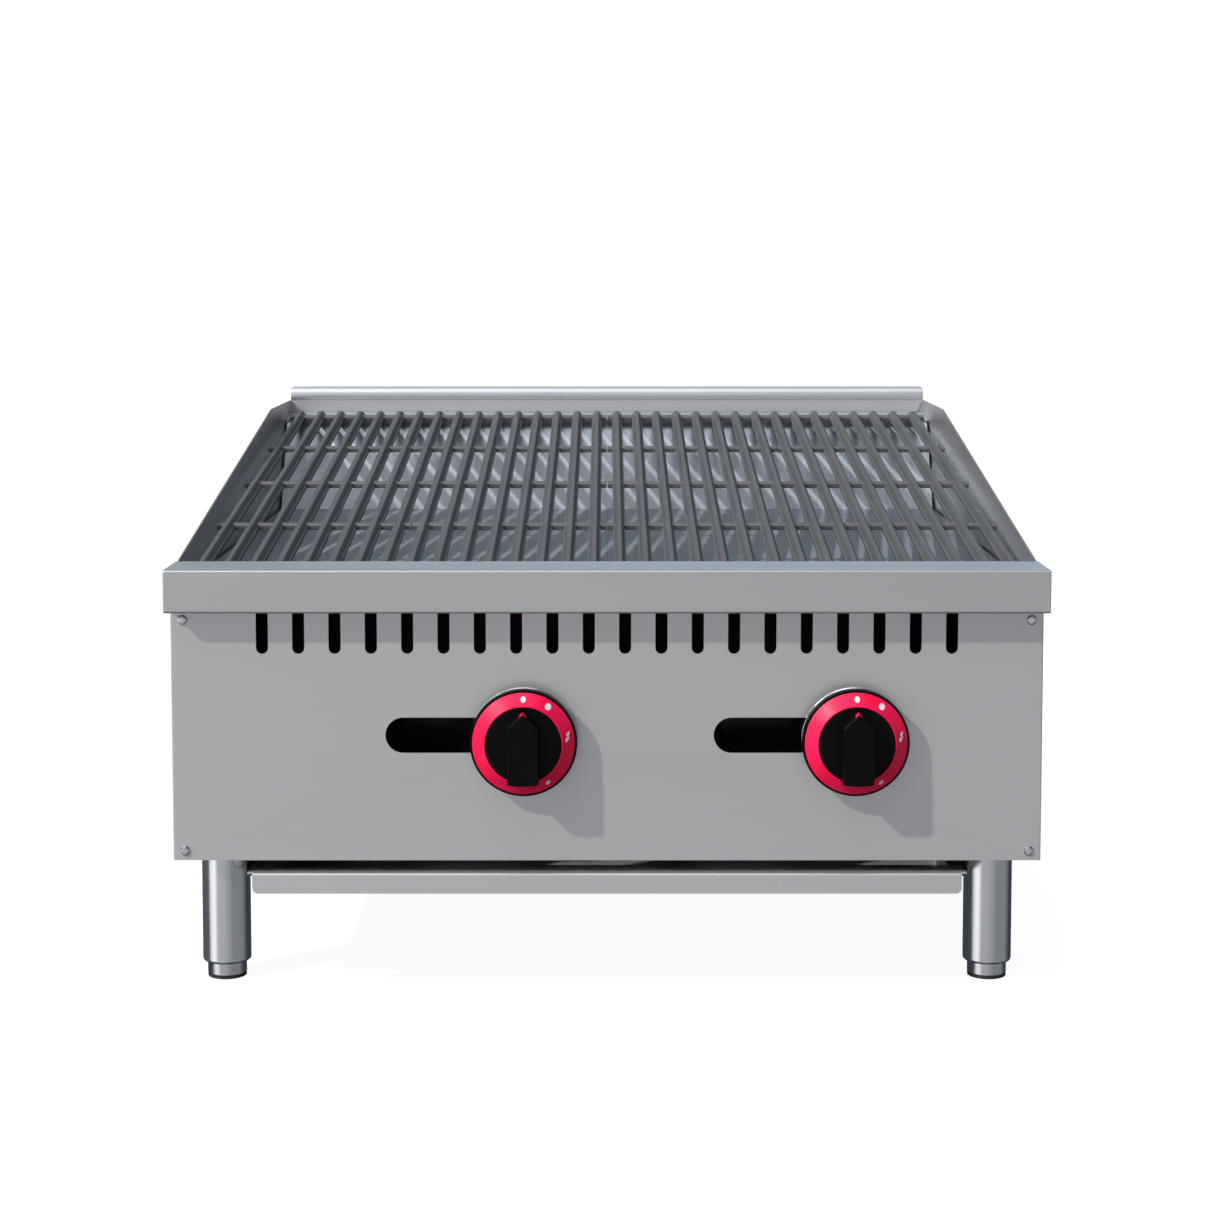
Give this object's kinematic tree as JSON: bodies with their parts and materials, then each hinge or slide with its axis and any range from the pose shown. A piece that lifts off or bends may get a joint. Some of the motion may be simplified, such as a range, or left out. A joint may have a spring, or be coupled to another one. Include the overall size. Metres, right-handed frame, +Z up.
{
  "type": "charbroiler grill",
  "caption": "Countertop gas charbroiler with sloped cast iron grates, twin control knobs, vented front panel, pull-out crumb tray and tubular legs on adjustable feet.",
  "frame": {"origin": "bottom centre of the whole appliance, on the surface it stands on", "axes": "+Z up, +X to the operator's right, +Y from the operator towards the rear gas inlet"},
  "size_m": [0.61, 0.754, 0.398],
  "materials": {
    "panel_steel": "brushed satin",
    "bullnose_steel": "brushed satin",
    "splash_steel": "satin",
    "frame_steel": "mill",
    "leg_steel": "polished tube",
    "foot_steel": "turned",
    "pad_rubber": "matt",
    "zinc_fastener": "zinc plated",
    "screw_chrome": "polished",
    "firebox_steel": "heat dulled",
    "heat_plate_steel": "cold rolled",
    "burner_steel": "heat dulled",
    "gas_pipe": "black pipe",
    "valve_brass": "machined",
    "stem_steel": "turned",
    "pilot_aluminium": "drawn",
    "bezel_chrome": "polished",
    "knob_black": "gloss",
    "knob_red": "satin gloss",
    "tray_steel": "satin",
    "grate_iron": "as cast"
  },
  "bodies": {
    "chassis": {"left_side_panel": "panel_steel", "right_side_panel": "panel_steel", "front_panel": "panel_steel", "bullnose": "bullnose_steel", "rear_splash": "splash_steel", "rear_panel": "panel_steel", "left_base_rail": "frame_steel", "right_base_rail": "frame_steel", "front_cross_rail": "frame_steel", "rear_cross_rail": "frame_steel", "leg_front_left": "leg_steel", "leg_front_right": "leg_steel", "leg_rear_left": "leg_steel", "leg_rear_right": "leg_steel", "leg_bolts": "zinc_fastener", "firebox_left_liner": "firebox_steel", "firebox_right_liner": "firebox_steel", "front_baffle": "firebox_steel", "heat_plate_left": "heat_plate_steel", "heat_plate_right": "heat_plate_steel", "rear_deflector": "heat_plate_steel", "front_grate_rest": "heat_plate_steel", "rear_grate_rest": "heat_plate_steel", "burner_left": "burner_steel", "burner_right": "burner_steel", "burner_rest": "firebox_steel", "gas_manifold": "gas_pipe", "gas_elbow": "gas_pipe", "gas_inlet_pipe": "gas_pipe", "valve_body_left": "valve_brass", "orifice_left": "valve_brass", "valve_body_right": "valve_brass", "orifice_right": "valve_brass", "pilot_burners": "burner_steel", "pilot_tubes": "pilot_aluminium", "knob_bezel_left": "bezel_chrome", "knob_bezel_right": "bezel_chrome", "panel_screws": "screw_chrome", "rear_screws": "zinc_fastener", "left_tray_rail": "frame_steel", "right_tray_rail": "frame_steel"},
    "grate_1": {"grate_1": "grate_iron"},
    "grate_2": {"grate_2": "grate_iron"},
    "grate_3": {"grate_3": "grate_iron"},
    "grate_4": {"grate_4": "grate_iron"},
    "valve_stem_left": {"valve_stem_left": "stem_steel"},
    "knob_left": {"knob_left": "knob_black", "knob_ring_left": "knob_red"},
    "valve_stem_right": {"valve_stem_right": "stem_steel"},
    "knob_right": {"knob_right": "knob_black", "knob_ring_right": "knob_red"},
    "crumb_tray": {"crumb_tray": "tray_steel"},
    "foot_front_left": {"foot_front_left": "foot_steel", "foot_pad_front_left": "pad_rubber"},
    "foot_front_right": {"foot_front_right": "foot_steel", "foot_pad_front_right": "pad_rubber"},
    "foot_rear_left": {"foot_rear_left": "foot_steel", "foot_pad_rear_left": "pad_rubber"},
    "foot_rear_right": {"foot_rear_right": "foot_steel", "foot_pad_rear_right": "pad_rubber"}
  },
  "joints": [
    {"name": "grate_1_lift", "type": "slide", "parent": "chassis", "child": "grate_1", "axis": [0, 0, 1], "range_m": [0, 0.12]},
    {"name": "grate_2_lift", "type": "slide", "parent": "chassis", "child": "grate_2", "axis": [0, 0, 1], "range_m": [0, 0.12]},
    {"name": "grate_3_lift", "type": "slide", "parent": "chassis", "child": "grate_3", "axis": [0, 0, 1], "range_m": [0, 0.12]},
    {"name": "grate_4_lift", "type": "slide", "parent": "chassis", "child": "grate_4", "axis": [0, 0, 1], "range_m": [0, 0.12]},
    {"name": "knob_left_turn", "type": "hinge", "parent": "chassis", "child": "valve_stem_left", "pos_m": [-0.0578, -0.341, 0.1872], "axis": [0, -1, 0], "range_deg": [0, 148]},
    {"name": "knob_left_push", "type": "slide", "parent": "valve_stem_left", "child": "knob_left", "axis": [0, 1, 0], "range_m": [0, 0.003], "stiffness_N_per_m": 900, "springref_m": -0.003},
    {"name": "knob_right_turn", "type": "hinge", "parent": "chassis", "child": "valve_stem_right", "pos_m": [0.1724, -0.341, 0.1872], "axis": [0, -1, 0], "range_deg": [0, 148]},
    {"name": "knob_right_push", "type": "slide", "parent": "valve_stem_right", "child": "knob_right", "axis": [0, 1, 0], "range_m": [0, 0.003], "stiffness_N_per_m": 900, "springref_m": -0.003},
    {"name": "crumb_tray_slide", "type": "slide", "parent": "chassis", "child": "crumb_tray", "axis": [0, -1, 0], "range_m": [0, 0.45]},
    {"name": "foot_front_left_turn", "type": "hinge", "parent": "chassis", "child": "foot_front_left", "pos_m": [-0.2772, -0.271, 0.02], "axis": [0, 0, 1], "continuous": true},
    {"name": "foot_front_right_turn", "type": "hinge", "parent": "chassis", "child": "foot_front_right", "pos_m": [0.2772, -0.271, 0.02], "axis": [0, 0, 1], "continuous": true},
    {"name": "foot_rear_left_turn", "type": "hinge", "parent": "chassis", "child": "foot_rear_left", "pos_m": [-0.2772, 0.279, 0.02], "axis": [0, 0, 1], "continuous": true},
    {"name": "foot_rear_right_turn", "type": "hinge", "parent": "chassis", "child": "foot_rear_right", "pos_m": [0.2772, 0.279, 0.02], "axis": [0, 0, 1], "continuous": true}
  ]
}
